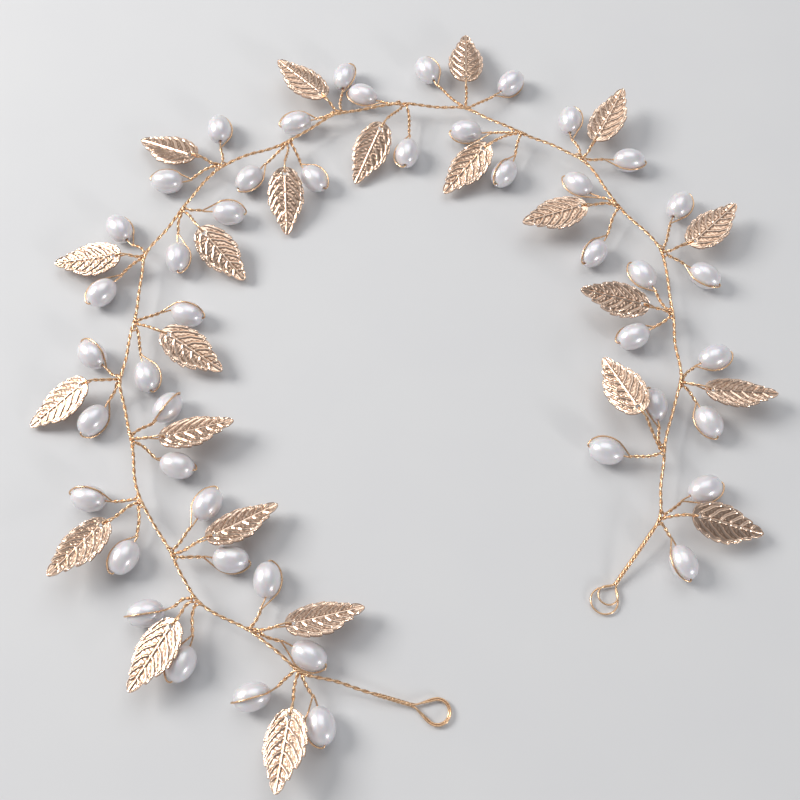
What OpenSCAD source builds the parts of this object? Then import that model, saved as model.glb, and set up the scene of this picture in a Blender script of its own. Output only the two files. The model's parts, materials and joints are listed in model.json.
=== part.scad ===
// Bridal hair vine: a soft twisted-wire stem with 23 sprigs.
// Each sprig has one stamped leaf between two rice pearls, on three twisted twigs.
// The vine lies on a flat surface at z = 0, bent into an open ring, millimetres, +Z up.

/* [Wire] */
// Diameter of the wire that the stem and the twigs are twisted from
wire_diameter = 0.4; // [0.3:0.02:0.5]
// Length of one full turn of the stem's twist
stem_turn = 4; // [3:0.5:6]
// Length of one full turn of a twig's twist
twig_turn = 3; // [2:0.5:4.5]
// Free space between two wires that lie against each other
wire_gap = 0.03; // [0.02:0.01:0.05]

/* [Stem] */
// Usual distance along the stem from one sprig to the next
sprig_pitch = 16; // [14:0.5:22]
// Bare stem before the first sprig
lead_in = 24.5; // [18:0.5:32]
// Bare stem after the last sprig
lead_out = 17.5; // [15:0.5:26]
// Height of the stem's axis over the surface
stem_height = 4.5; // [4:0.25:6]
// Height of both eyelets over the surface
eyelet_height = 0.8; // [0.7:0.1:2]
// Length of stem round which the wire's tails are wound at the first eyelet
first_tail = 8; // [4:1:14]
// The same at the last eyelet
last_tail = 15; // [4:1:16]
// Free space between two lengths of stem, where the vine is bent
bend_gap = 0.35; // [0.3:0.05:0.6]

/* [Eyelets] */
// Length and width of the first eyelet's loop, between wire centres
first_loop = [7, 4.7];
// Length and width of the last eyelet's outer loop
outer_loop = [6.6, 5.4];
// Length and width of the last eyelet's inner loop
inner_loop = [4.4, 3.8];

/* [Pearls] */
// Length of a pearl along its bore
pearl_length = 8; // [6:0.5:10]
// Greatest diameter of a pearl
pearl_diameter = 6; // [4.5:0.25:7.5]
// Diameter of a pearl's bore
pearl_bore = 0.9; // [0.8:0.1:1.2]
// Usual length of a pearl's twig, from the stem to the fork of its wire
pearl_twig = 8; // [6:0.5:11]
// Distance from the fork of the wire to the pearl
pearl_fork = 0.7; // [0.4:0.1:1.5]

/* [Leaves] */
// Length of a leaf
leaf_length = 17; // [13:0.5:20]
// Greatest width of a leaf
leaf_width = 9.2; // [7:0.2:11]
// Thickness of the brass sheet
leaf_sheet = 0.35; // [0.25:0.05:0.5]
// Height of the stamped veins over the sheet
vein_height = 0.2; // [0.1:0.05:0.3]
// Radius to which the sheet is cupped across its width
cup_radius = 18; // [12:1:40]
// Diameter of the hole for the wire
leaf_hole = 1.1; // [1:0.1:1.4]
// Distance from the base of the leaf to the hole's centre
hole_inset = 1.6; // [1.4:0.1:2.2]
// Lobes on each side of a leaf, between its round base and its tongue
lobes = 5; // [3:1:8]
// Depth of the notches between the lobes
notch_depth = 0.42; // [0.2:0.02:0.6]
// Veins on each side of the midrib
veins = 5; // [3:1:7]
// Width of a side vein
vein_width = 0.5; // [0.3:0.05:0.7]
// Usual length of a leaf's twig, from the stem to the hole
leaf_twig = 9; // [7:0.5:12]
// Usual height of a leaf's hole over the stem's axis
leaf_rise = 1; // [0.5:0.25:2.5]
// Least height of a leaf's tip over the surface
tip_clearance = 0.2; // [0.1:0.05:1]

/* [Hidden] */
// One row for each sprig, from the first eyelet to the last:
// [spacing over sprig_pitch, bend of the stem, pearl twig, leaf twig, pearl twig].
// Angles are in degrees, seen from above and positive to the left of the stem's heading.
// Pearl twig: [heading, length over pearl_twig, swing of the pearl, side its wire returns on].
// Leaf twig: [heading, length over leaf_twig, swing, pitch and roll of the leaf, extra rise].
SPRIGS = [
    [1.00, -24, [63, 0.80, -20, 15], [107, 1.05, 3, 10, 12, 0], [147, 0.90, -18, -95]],
    [0.80, 12, [-75, 0.90, 17, -110], [-136, 0.95, 3, -5, -28, 0], [-163, 1.00, -12, -95]],
    [0.90, -36, [63, 0.75, -9, 15], [100, 0.80, 6, 0, 12, 0.5], [134, 1.10, -23, -90]],
    [0.70, 8, [-58, 1.10, -4, 90], [-96, 1.05, 4, -5, -25, 0], [-122, 0.95, -4, -125]],
    [0.90, -22, [62, 0.90, -6, -30], [102, 1.05, 16, 10, 12, 0], [153, 1.00, -26, -90]],
    [0.95, 2, [-60, 0.80, 10, -10], [-103, 0.90, 14, 0, -22, 0], [-140, 0.95, 20, 130]],
    [0.95, -23, [46, 0.70, -4, -40], [103, 0.95, 17, -20, 10, 1], [151, 0.80, -12, 130]],
    [0.90, 6, [-53, 1.10, -48, 30], [-106, 1.00, -12, -8, 5, 0], [-160, 1.10, 5, 80]],
    [1.15, -29, [62, 0.85, -11, -100], [110, 0.80, -2, -10, 0, 0], [146, 1.10, 10, -85]],
    [0.95, -2, [-53, 0.85, -11, 60], [-107, 1.05, 1, -12, 5, 0], [-152, 1.00, 9, 85]],
    [1.00, -35, [57, 0.95, 1, -100], [122, 0.90, -8, -10, 5, 0], [165, 1.20, -28, -80]],
    [1.10, 15, [-162, 1.10, 1, 90], [-118, 1.20, 1, -19, 0, 1], [-87, 0.95, 9, 70]],
    [1.00, -28, [165, 0.80, 8, -75], [107, 0.80, 8, 2, 8, 0], [62, 1.00, -2, -60]],
    [1.05, -14, [160, 0.80, -6, 85], [-124, 1.20, 6, -20, -5, 1], [-82, 1.20, -18, -100]],
    [1.00, -24, [145, 1.50, -11, -80], [104, 1.05, 2, -7, 0, 0], [51, 1.35, 13, -130]],
    [0.95, 2, [-156, 1.05, -2, 100], [-119, 1.20, 15, -13, 5, 0], [-71, 1.00, -26, -30]],
    [1.10, -34, [149, 1.05, -19, -75], [98, 0.85, 8, 5, -15, 0], [50, 0.95, -9, -80]],
    [1.00, 8, [-157, 0.85, -7, 85], [-117, 1.05, 14, 2, 5, 0], [-54, 1.25, -19, -40]],
    [1.05, -36, [142, 1.35, -11, -85], [89, 0.90, 25, 0, -8, 0], [45, 0.85, -9, -70]],
    [1.05, 0, [-158, 1.00, 10, 85], [-105, 0.80, 6, 12, 0, 0.5], [-58, 0.75, -7, -100]],
    [1.10, -20, [145, 0.85, -22, -85], [76, 0.80, 22, -5, -22, 0.5], [46, 0.80, -12, -85]],
    [1.10, 12, [-69, 1.00, -24, -70], [-133, 1.15, -10, -12, -12, 3.2], [-166, 0.85, 5, 60]],
    [1.00, -30, [149, 1.05, -12, -85], [110, 0.90, -9, -14, 0, 1], [53, 0.75, -13, -60]]
];
// The stem's heading as it leaves the first eyelet
FIRST_HEADING = 165;
// The stem is bent halfway between each of these sprigs and the next, counted from 1
BENT_AFTER = [3, 6, 10, 14, 17, 20];

sprigs = len(SPRIGS);
lengths = len(BENT_AFTER) + 1;
first_of = [for (k = [0:lengths - 1]) k == 0 ? 0 : BENT_AFTER[k - 1]];
last_of = [for (k = [0:lengths - 1]) (k == lengths - 1 ? sprigs : BENT_AFTER[k]) - 1];

// A twisted pair is drawn as a bar of two ridges, the strands, and two valleys between them
steps_per_turn = 6;
twist_step = 360 / steps_per_turn;
ridge = 1.05 * wire_diameter;
valley = 0.6 * wire_diameter;
// Half the diagonal of the square that four strands make where the tails are wound in
bundle_half = 1.25 * wire_diameter;
// A single wire is drawn with three sides, one corner outwards
wire_sides = 3;
wire_corner = 0.68 * wire_diameter;
wire_flat = wire_corner / 2;
// Free space between a wire and the pearl or the leaf that it goes round
wrap_gap = 2 * wire_gap;
// Distance between two neighbouring twigs where they leave the stem
root_pitch = 2 * ridge + 0.1;
// Length over which the stem's bend at a sprig is spread, each way
bend_spread = 2.5;
// Rings of the loop of an eyelet
loop_rings = 10;
// Distance from a leaf's hole to the fork of its wire
leaf_arm = hole_inset + 1.3;

// ---- Vectors and lists ----

function two_digits(i) = str(i < 10 ? "0" : "", i);
function unit(v) = v / norm(v);
function flat(v) = unit([v.x, v.y, 0]);
function toward(a) = [cos(a), sin(a), 0];
function up_to(values, i) = i < 0 ? 0 : values[i] + up_to(values, i - 1);
function joined(lists) = [for (a = lists) for (b = a) b];
function reversed(list) = [for (i = [len(list) - 1:-1:0]) list[i]];
// v turned by roll about X, then by pitch (nose up) about Y, then by heading about Z
function turned(v, roll, pitch, heading) =
    let (
        a = [v.x, v.y * cos(roll) - v.z * sin(roll), v.y * sin(roll) + v.z * cos(roll)],
        b = [a.x * cos(pitch) - a.z * sin(pitch), a.y, a.x * sin(pitch) + a.z * cos(pitch)]
    )
    [b.x * cos(heading) - b.y * sin(heading), b.x * sin(heading) + b.y * cos(heading), b.z];

// ---- The stem's axis: straight spans with a rounded bend at each sprig ----

spans = [
    for (i = [0:sprigs])
        i == 0 ? lead_in : i == sprigs ? lead_out : SPRIGS[i][0] * sprig_pitch
];
bends = [for (row = SPRIGS) row[1]];
headings = [for (i = [0:sprigs]) FIRST_HEADING + up_to(bends, i - 1)];
xs = [for (i = [0:sprigs]) spans[i] * cos(headings[i])];
ys = [for (i = [0:sprigs]) spans[i] * sin(headings[i])];
corners = [
    for (i = [0:sprigs + 1])
        [up_to(xs, i - 1), up_to(ys, i - 1), i == 0 || i > sprigs ? eyelet_height : stem_height]
];
runs = [for (i = [0:sprigs]) corners[i + 1] - corners[i]];
stations = [for (i = [0:sprigs + 1]) up_to([for (r = runs) norm(r)], i - 1)];
stem_end = stations[sprigs + 1];

// The corner that lies nearest to station s, and the run that holds it
function corner_near(s, i = 1) =
    i >= sprigs || s < (stations[i] + stations[i + 1]) / 2 ? i : corner_near(s, i + 1);
function axis_point(s) =
    let (i = corner_near(s), d = s - stations[i], a = unit(runs[i - 1]), b = unit(runs[i]))
    d < -bend_spread ? corners[i] + d * a :
    d > bend_spread ? corners[i] + d * b :
    corners[i] + d * a + (b - a) * pow(d + bend_spread, 2) / (4 * bend_spread);
function axis_heading(s) =
    let (i = corner_near(s), d = s - stations[i], a = unit(runs[i - 1]), b = unit(runs[i]))
    d < -bend_spread ? a :
    d > bend_spread ? b :
    unit(a + (b - a) * (d + bend_spread) / (2 * bend_spread));

function bend_station(k) = (stations[BENT_AFTER[k]] + stations[BENT_AFTER[k] + 1]) / 2;
function length_start(k) = k == 0 ? 0 : bend_station(k - 1) + bend_gap / 2;
function length_end(k) = k == lengths - 1 ? stem_end : bend_station(k) - bend_gap / 2;

// ---- Wires ----

// A twisted wire is [rings of its bar, loop]: two strands that part at the last ring, the fork.
// A ring of the bar has four corners: ridge, valley, ridge, valley.
function bar_ring(axis, heading, angle, long, short) =
    let (
        left = unit(cross([0, 0, 1], heading)),
        top = cross(heading, left),
        u = cos(angle) * top + sin(angle) * left,
        v = cross(heading, u)
    )
    [axis + long * u, axis + short * v, axis - long * u, axis - short * v];
// A loop is a list of [point, outward direction, corner radius], one for each ring
function loop_ring(before, here, after) =
    let (
        t = unit(after - before),
        n = unit(here[1] - (here[1] * t) * t),
        b = cross(t, n)
    )
    [
        for (c = [0:wire_sides - 1])
            let (a = 360 * c / wire_sides)
            here[0] + here[2] * (cos(a) * n + sin(a) * b)
    ];
function loop_rings_of(loop, start, end) = [
    for (i = [0:len(loop) - 1])
        loop_ring(
            i == 0 ? start : loop[i - 1][0],
            loop[i],
            i == len(loop) - 1 ? end : loop[i + 1][0]
        )
];
// Triangles between two rings, given as lists of their corners' numbers
function band(a, b) =
    let (m = len(a))
    [for (c = [0:m - 1]) each [[a[c], b[c], b[(c + 1) % m]], [a[c], b[(c + 1) % m], a[(c + 1) % m]]]];
function numbers(first, m) = [for (c = [0:m - 1]) first + c];

function wire_points(wire) =
    let (bar = wire[0], fork = bar[len(bar) - 1])
    concat(
        joined(bar),
        len(wire[1]) == 0 ? [] :
        joined(loop_rings_of(wire[1], (fork[0] + fork[1]) / 2, (fork[2] + fork[3]) / 2))
    );
function wire_faces(wire, first) =
    let (
        rings = len(wire[0]),
        turns = len(wire[1]),
        fork = numbers(first + 4 * (rings - 1), 4),
        rim = first + 4 * rings
    )
    concat(
        [numbers(first, 4)],
        joined([
            for (i = [0:rings - 2]) band(numbers(first + 4 * i, 4), numbers(first + 4 * i + 4, 4))
        ]),
        turns == 0 ? [reversed(fork)] : concat(
            band([fork[0], fork[1], fork[3]], numbers(rim, 3)),
            joined([
                for (i = [0:turns - 2]) band(numbers(rim + 3 * i, 3), numbers(rim + 3 * i + 3, 3))
            ]),
            band(numbers(rim + 3 * (turns - 1), 3), [fork[2], fork[1], fork[3]])
        )
    );
module draw_wires(wires) {
    points = [for (w = wires) wire_points(w)];
    counts = [for (p = points) len(p)];
    polyhedron(
        points = joined(points),
        faces = joined([
            for (i = [0:len(wires) - 1]) wire_faces(wires[i], up_to(counts, i - 1))
        ])
    );
}
// A single wire with two free ends
module draw_loop(loop) {
    last = len(loop) - 1;
    rings = loop_rings_of(loop, loop[0][0], loop[last][0]);
    polyhedron(
        points = joined(rings),
        faces = concat(
            [numbers(0, wire_sides)],
            joined([
                for (i = [0:last - 1])
                    band(
                        numbers(wire_sides * i, wire_sides),
                        numbers(wire_sides * (i + 1), wire_sides)
                    )
            ]),
            [reversed(numbers(wire_sides * last, wire_sides))]
        )
    );
}

// ---- Stem ----

// A length of stem as rings, from one station to another, turned by a quarter more if it ends
// in a level loop; its last stretch may be a bundle of four strands
function stem_bar(from, to, extra, tail) =
    let (
        way = sign(to - from),
        turns = round(abs(to - from) / stem_turn),
        steps = steps_per_turn * turns
    )
    [
        for (j = [0:steps])
            let (
                s = from + (to - from) * j / steps,
                wound = abs(to - s) < tail && j < steps
            )
            bar_ring(
                axis_point(s),
                way * axis_heading(s),
                (360 * turns + extra) * j / steps,
                wound ? bundle_half : ridge,
                wound ? bundle_half : valley
            )
    ];
// A level, drop-shaped loop beyond an end of the stem, out on the left side and back on the right
function drop_loop(root, away, size, rise, corner) =
    let (left = cross([0, 0, 1], away), middle = root + away * size.x * 0.55)
    [
        for (j = [1:loop_rings - 1])
            let (
                a = 360 * j / loop_rings,
                x = size.x / 2 * (1 - cos(a)) + ridge / 2,
                y = size.y / 2 / 0.77 * sin(a) * sin(a / 2),
                p = root + x * away + y * left
            )
            [p + [0, 0, rise], flat(p - middle), corner]
    ];
// The last eyelet's inner loop lies on the outer one
inner_rise = 2 * wire_corner + wire_gap;

// ---- Twigs ----

function hub(i) = axis_point(stations[i + 1]);
function hub_heading(i) = headings[i] + bends[i] / 2;
// Place of a twig along the stem among the three of its sprig: -1, 0 or 1
function root_rank(i, turn) =
    len([for (t = [2, 3, 4]) if (cos(SPRIGS[i][t][0]) < cos(turn)) t]) - 1;
// Where a twig starts, beside the stem
function twig_root(i, turn) =
    let (
        s = stations[i + 1] + root_pitch * root_rank(i, turn),
        side = sign(sin(turn)) * unit(cross([0, 0, 1], axis_heading(s))),
        off = ridge + 2 * wire_gap + ridge * abs(cos(turn))
    )
    axis_point(s) + off * side;
// The bar of a twig, from the stem to the fork; angle is the first strand's at the fork
function twig_bar(root, fork, angle) =
    let (
        steps = max(3, round(steps_per_turn * norm(fork - root) / twig_turn)),
        heading = unit(fork - root)
    )
    [
        for (j = [0:steps])
            bar_ring(
                root + (fork - root) * j / steps,
                heading,
                angle + twist_step * (j - steps),
                ridge,
                valley
            )
    ];

// ---- Pearls ----

function pearl_heading(i, t) = toward(hub_heading(i) + SPRIGS[i][t][0] + SPRIGS[i][t][2]);
function pearl_fork_point(i, t) =
    let (
        row = SPRIGS[i][t],
        p = hub(i) + row[1] * pearl_twig * toward(hub_heading(i) + row[0])
    )
    [p.x, p.y, pearl_diameter / 2];
function pearl_centre(i, t) =
    pearl_fork_point(i, t) + (pearl_fork + pearl_length / 2) * pearl_heading(i, t);
// The wire that holds one pearl: out, through the bore, back round the outside, in
function pearl_wire(i, t) =
    let (
        fork = pearl_fork_point(i, t),
        root = twig_root(i, SPRIGS[i][t][0]),
        side = SPRIGS[i][t][3],
        along = pearl_heading(i, t),
        over = bar_ring([0, 0, 0], along, side, 1, 1)[0],
        centre = pearl_centre(i, t),
        off = wire_flat + wrap_gap,
        long = pearl_length / 2 + off,
        wide = pearl_diameter / 2 + off,
        turn = 45,
        out = 1 / cos(turn / 2)
    )
    [
        twig_bar(root, fork, side + 180),
        concat(
            [
                [centre - pearl_length / 2 * along, -over, wire_corner],
                [centre + (pearl_length / 2 + 0.1) * along, -over, wire_corner]
            ],
            [
                for (a = [turn / 2:turn:180])
                    let (v = long * cos(a) * along + wide * sin(a) * over)
                    [centre + out * v, v, wire_corner]
            ]
        )
    ];

module pearl() {
    half = [
        for (a = [0:15:180])
            [pearl_diameter / 2 * pow(sin(a), 0.94), -pearl_length / 2 * cos(a)]
    ];
    difference() {
        rotate_extrude($fn = 64) polygon(half);
        cylinder(h = 2 * pearl_length, d = pearl_bore, center = true, $fn = 32);
    }
}
module pearls(i) {
    color("ivory") for (t = [2, 4])
        translate(pearl_centre(i, t))
            rotate([0, 90, hub_heading(i) + SPRIGS[i][t][0] + SPRIGS[i][t][2]])
                pearl();
}

// ---- Leaves ----

function leaf_row(i) = SPRIGS[i][3];
function leaf_heading(i) = hub_heading(i) + leaf_row(i)[0] + leaf_row(i)[2];
function leaf_turned(i, v) = turned(v, leaf_row(i)[4], leaf_row(i)[3], leaf_heading(i));
// How far the tip of a leaf hangs below its hole
function tip_drop(i) = (leaf_length - hole_inset) * sin(-leaf_row(i)[3]) + leaf_sheet / 2;
function leaf_hole_point(i) =
    let (p = hub(i) + leaf_row(i)[1] * leaf_twig * toward(hub_heading(i) + leaf_row(i)[0]))
    [p.x, p.y, max(stem_height + leaf_rise + leaf_row(i)[5], tip_drop(i) + tip_clearance)];
// The wire that holds one leaf: out over it, down through the hole, back under it, in
function leaf_wire(i) =
    let (
        hole = leaf_hole_point(i),
        normal = leaf_turned(i, [0, 0, 1]),
        reach = toward(hub_heading(i) + leaf_row(i)[0]),
        arm = unit(reach - (reach * normal) * normal),
        fork = hole - leaf_arm * arm,
        root = twig_root(i, leaf_row(i)[0]),
        left = unit(cross([0, 0, 1], unit(fork - root))),
        lean = atan2(normal * left, normal.z),
        off = leaf_sheet / 2 + wire_corner + wrap_gap
    )
    [
        twig_bar(root, fork, lean),
        [
            [hole - (hole_inset + 0.3) * arm + off * normal, normal, wire_corner],
            [hole - 0.25 * arm + off * normal, normal + 0.5 * arm, wire_corner],
            [hole + 0.05 * arm, arm, wire_corner],
            [hole - 0.25 * arm - off * normal, 0.5 * arm - normal, wire_corner],
            [hole - (hole_inset + 0.3) * arm - off * normal, -normal, wire_corner]
        ]
    ];

// Half the width of the leaf at a share of its length: a round base, full sides, and from
// the shoulder on a quicker taper to the tongue
SHOULDER = 0.55;
function half_width(share) =
    leaf_width / 2 * pow(sin(180 * pow(share, 0.75)), 0.6)
    * (1 - 0.22 * min(1, max(0, (share - SHOULDER) / 0.2)));
// The lobes begin and end at these shares; each is [share of a lobe, share of the depth]
FIRST_NOTCH = 0.11;
LAST_NOTCH = 0.835;
LOBE = [[0, 1], [0.3, 0.3], [0.65, 0], [0.92, 0.05]];
leaf_side = concat(
    [for (share = [0.012, 0.045]) [share * leaf_length, half_width(share)]],
    [
        for (i = [0:lobes - 1], p = LOBE)
            let (share = FIRST_NOTCH + (LAST_NOTCH - FIRST_NOTCH) * (i + p[0]) / lobes)
            [share * leaf_length, half_width(share) - notch_depth * (i == 0 ? 0.6 : 1) * p[1]]
    ],
    [
        for (share = [LAST_NOTCH, 0.93, 0.975])
            [share * leaf_length, half_width(share) - (share == LAST_NOTCH ? notch_depth : 0)]
    ]
);
leaf_outline = concat(
    [[0, 0]], [for (p = leaf_side) [p.x, -p.y]], [[leaf_length, 0]], reversed(leaf_side)
);
// The midrib with its side veins, as one outline. A vein leaves the midrib, leans towards the
// tip and bends along the edge.
vein_side = [
    for (i = [0:veins - 1])
        let (
            from = leaf_length * (0.19 + 0.6 * i / veins),
            reach = 0.76 * half_width(min(from / leaf_length + 0.14, 0.93)),
            out = 0.65 * reach
        )
        each [
            [from, 0.3],
            [from + 0.62 * reach, out],
            [from + 1.2 * reach, reach],
            [from + 1.2 * reach + 1.3 * vein_width, reach - 0.4 * vein_width],
            [from + 0.62 * reach + 1.2 * vein_width, out - 0.2 * vein_width],
            [from + 1.5 * vein_width, 0.25]
        ]
];
vein_outline = concat(
    [[0.17 * leaf_length, -0.32]],
    [for (p = vein_side) [p.x, -p.y]],
    [[0.95 * leaf_length, 0]],
    reversed(vein_side),
    [[0.17 * leaf_length, 0.32]]
);
// A sheet cupped about an axis below it, between two heights at the midrib
module cupped_sheet(low, high) {
    translate([-1, 0, -cup_radius]) rotate([0, 90, 0]) difference() {
        cylinder(h = leaf_length + 2, r = cup_radius + high, $fn = 180);
        translate([0, 0, -1]) cylinder(h = leaf_length + 4, r = cup_radius + low, $fn = 180);
    }
}
module leaf_blank() {
    tall = 3;
    difference() {
        translate([-hole_inset, 0, 0]) union() {
            intersection() {
                translate([0, 0, -tall]) linear_extrude(2 * tall) polygon(leaf_outline);
                cupped_sheet(-leaf_sheet / 2, leaf_sheet / 2);
            }
            intersection() {
                translate([0, 0, -tall]) linear_extrude(2 * tall) polygon(vein_outline);
                cupped_sheet(0, leaf_sheet / 2 + vein_height);
            }
        }
        cylinder(h = 2 * tall, d = leaf_hole, center = true, $fn = 48);
    }
}
module leaf(i) {
    color("goldenrod") translate(leaf_hole_point(i))
        rotate([leaf_row(i)[4], -leaf_row(i)[3], leaf_heading(i)])
            leaf_blank();
}

// ---- The middle of the whole vine, which is the origin of its frame ----

function pearl_reach(i, t, axis, way) =
    let (d = pearl_heading(i, t)[axis], a = pearl_length / 2, b = pearl_diameter / 2)
    pearl_centre(i, t)[axis] + way * sqrt(a * a * d * d + b * b * (1 - d * d));
function reaches(axis, way) = [
    for (i = [0:sprigs - 1])
        each [
            pearl_reach(i, 2, axis, way),
            pearl_reach(i, 4, axis, way),
            (leaf_hole_point(i) + leaf_turned(i, [leaf_length - hole_inset, 0, 0]))[axis]
        ]
];
middle = [for (axis = [0, 1]) (min(reaches(axis, -1)) + max(reaches(axis, 1))) / 2];
module in_frame() {
    translate([-middle.x, -middle.y, 0]) children();
}

// ---- Nodes ----

module stem_wires(k) {
    color("gold")
        if (k == 0)
            draw_wires([[
                stem_bar(length_end(0), 0, 90, first_tail),
                drop_loop(corners[0], -flat(runs[0]), first_loop, 0, 1.25 * wire_corner)
            ]]);
        else if (k == lengths - 1) {
            root = corners[sprigs + 1];
            away = flat(runs[sprigs]);
            draw_wires([[
                stem_bar(length_start(k), stem_end, 90, last_tail),
                drop_loop(root, away, outer_loop, 0, wire_corner)
            ]]);
            draw_loop(drop_loop(root, away, inner_loop, inner_rise, wire_corner));
        }
        else
            draw_wires([[stem_bar(length_start(k), length_end(k), 0, 0), []]]);
}
module twig_wires(k) {
    color("gold") draw_wires([
        for (i = [first_of[k]:last_of[k]])
            each [pearl_wire(i, 2), leaf_wire(i), pearl_wire(i, 4)]
    ]);
}

for (k = [1:lengths])
    in_frame() stem_wires(k - 1);
for (k = [1:lengths])
    in_frame() twig_wires(k - 1);
for (i = [1:sprigs])
    in_frame() pearls(i - 1);
for (i = [1:sprigs])
    in_frame() leaf(i - 1);
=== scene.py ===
# %% [markdown]
# # A bridal hair vine
#
# A hair vine is a soft twisted-wire stem that carries many small sprigs. Here each sprig is one stamped
# brass leaf between two rice pearls, each on its own twisted twig, and the stem ends in a wire eyelet at
# both ends. The engineering model is already packed: it says where every pearl, leaf and wire lies. This
# lesson gives each piece its real surface. Plain solids could be smoothed with modifiers instead, but
# round wire, stamped veins and nacre all follow simple formulas, so we compute them.

import json

import bpy
import numpy as np
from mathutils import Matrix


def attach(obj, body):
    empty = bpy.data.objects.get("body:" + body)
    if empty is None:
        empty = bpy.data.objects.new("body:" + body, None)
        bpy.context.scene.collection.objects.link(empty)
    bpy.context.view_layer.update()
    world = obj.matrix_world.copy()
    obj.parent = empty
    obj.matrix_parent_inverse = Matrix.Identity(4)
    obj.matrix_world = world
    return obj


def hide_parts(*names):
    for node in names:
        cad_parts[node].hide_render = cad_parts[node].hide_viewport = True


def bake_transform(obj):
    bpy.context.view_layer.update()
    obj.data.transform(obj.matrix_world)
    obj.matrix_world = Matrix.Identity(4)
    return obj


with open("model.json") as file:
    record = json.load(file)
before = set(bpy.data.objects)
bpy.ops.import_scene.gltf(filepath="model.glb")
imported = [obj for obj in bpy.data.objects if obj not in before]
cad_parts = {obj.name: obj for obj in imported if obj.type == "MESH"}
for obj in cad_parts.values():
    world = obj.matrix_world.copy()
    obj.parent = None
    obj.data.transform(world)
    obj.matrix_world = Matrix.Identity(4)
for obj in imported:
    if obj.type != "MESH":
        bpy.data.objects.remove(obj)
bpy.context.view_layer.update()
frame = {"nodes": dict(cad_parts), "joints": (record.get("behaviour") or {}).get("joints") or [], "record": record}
MM, MM_IN_M, MICRONS_IN_MM = 0.001, 1000, 1000
UP = np.array([0.0, 0.0, 1.0])
LENGTHS, BENDS = range(1, 8), range(1, 7)

# %% [markdown]
# ## Reading places from the frame
#
# We never guess a position. A hinge tells us where a leaf's hole is, and a node's mesh tells us where a
# pearl lies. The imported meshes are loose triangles, so we first merge the corners that coincide and then
# gather the triangles that share corners into separate solids. We work in millimetres and scale at the end.

# %% The solids of a node
joints = {j["name"]: j for j in frame["joints"]}
body_of_node = {n: b for b, nodes in frame["record"]["behaviour"]["bodies"].items() for n in nodes}


def unit(v):
    """Vectors divided by their own length, along the last axis."""
    return v / np.linalg.norm(v, axis=-1, keepdims=True)


def solids_of(node):
    """Each closed solid of a node as (corners, triangles): the smallest corner number in a solid
    spreads over its triangles until nothing changes, and corners with the same number belong together."""
    mesh = frame["nodes"][node].data
    mesh.calc_loop_triangles()
    raw = np.empty(3 * len(mesh.vertices))
    mesh.vertices.foreach_get("co", raw)
    corners = np.empty(3 * len(mesh.loop_triangles), int)
    mesh.loop_triangles.foreach_get("vertices", corners)
    microns = np.round(raw.reshape(-1, 3) * (MM_IN_M * MICRONS_IN_MM)).astype(int)
    grid, index = np.unique(microns, axis=0, return_inverse=True)
    points, faces = grid / MICRONS_IN_MM, index.reshape(-1)[corners].reshape(-1, 3)
    label = np.arange(len(points))
    while True:
        spread = label.copy()
        np.minimum.at(spread, faces, label[faces].min(axis=1)[:, None])
        spread = spread[spread]
        if (spread == label).all():
            break
        label = spread
    found = []
    for k in np.unique(label):
        own = faces[label[faces[:, 0]] == k]
        found.append((points[label == k], np.searchsorted(np.flatnonzero(label == k), own)))
    return found


wire_sections = {k: solids_of(f"stem_wires_{k}") for k in LENGTHS}
print("solids in each stem length:", [len(s) for s in wire_sections.values()])

# %% [markdown]
# ## The stem's centre line
#
# In the model the twisted stem is a bar made of rings of four corners. Walking over its triangles from
# one end, one ring at a time, gives the rings in order, and their middles give the centre line. The whole
# stem is one curve, so the seven lengths are joined, evenly spaced again and slightly smoothed. A real
# stem is bent by hand, so a wander of a quarter of a millimetre is added, which dies out at both eyelets.

# %% Walk along the rings
RING_CORNERS, NOT_REACHED = 4, 10**6


def ring_middles(points, faces, start):
    """Middles of the rings of a bar, in order from the end nearest to start. A corner's level is one
    more than the lowest level next to it; a level of four corners is one ring."""
    level = np.full(len(points), NOT_REACHED)
    level[np.argsort(np.linalg.norm(points - start, axis=1))[:RING_CORNERS]] = 0
    while True:
        lower = level.copy()
        np.minimum.at(lower, faces, level[faces].min(axis=1)[:, None] + 1)
        if (lower == level).all():
            break
        level = lower
    middles = []
    for k in range(level.max() + 1):
        if (level == k).sum() != RING_CORNERS:
            break
        middles.append(points[level == k].mean(axis=0))
    return np.array(middles)


# %% Evenly spaced and smooth lines
def evenly(path, spacing=None, count=None):
    """The same line with evenly spaced points: each coordinate is read off against distance travelled."""
    travelled = np.concatenate([[0], np.cumsum(np.linalg.norm(np.diff(path, axis=0), axis=1))])
    count = count or int(round(travelled[-1] / spacing)) + 1
    at = np.linspace(0, travelled[-1], count)
    return np.stack([np.interp(at, travelled, path[:, c]) for c in range(3)], axis=1)


def smoothed(path, reach):
    """Each point replaced by the mean of its neighbours under a bell-shaped weight; both ends stay."""
    tail = 3 * reach
    weight = np.exp(-0.5 * (np.arange(-tail, tail + 1) / reach) ** 2)
    before, after = 2 * path[0] - path[tail:0:-1], 2 * path[-1] - path[-2:-tail - 2:-1]
    padded = np.concatenate([before, path, after])
    return np.stack([np.convolve(padded[:, c], weight / weight.sum(), "valid") for c in range(3)], axis=1)


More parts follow.
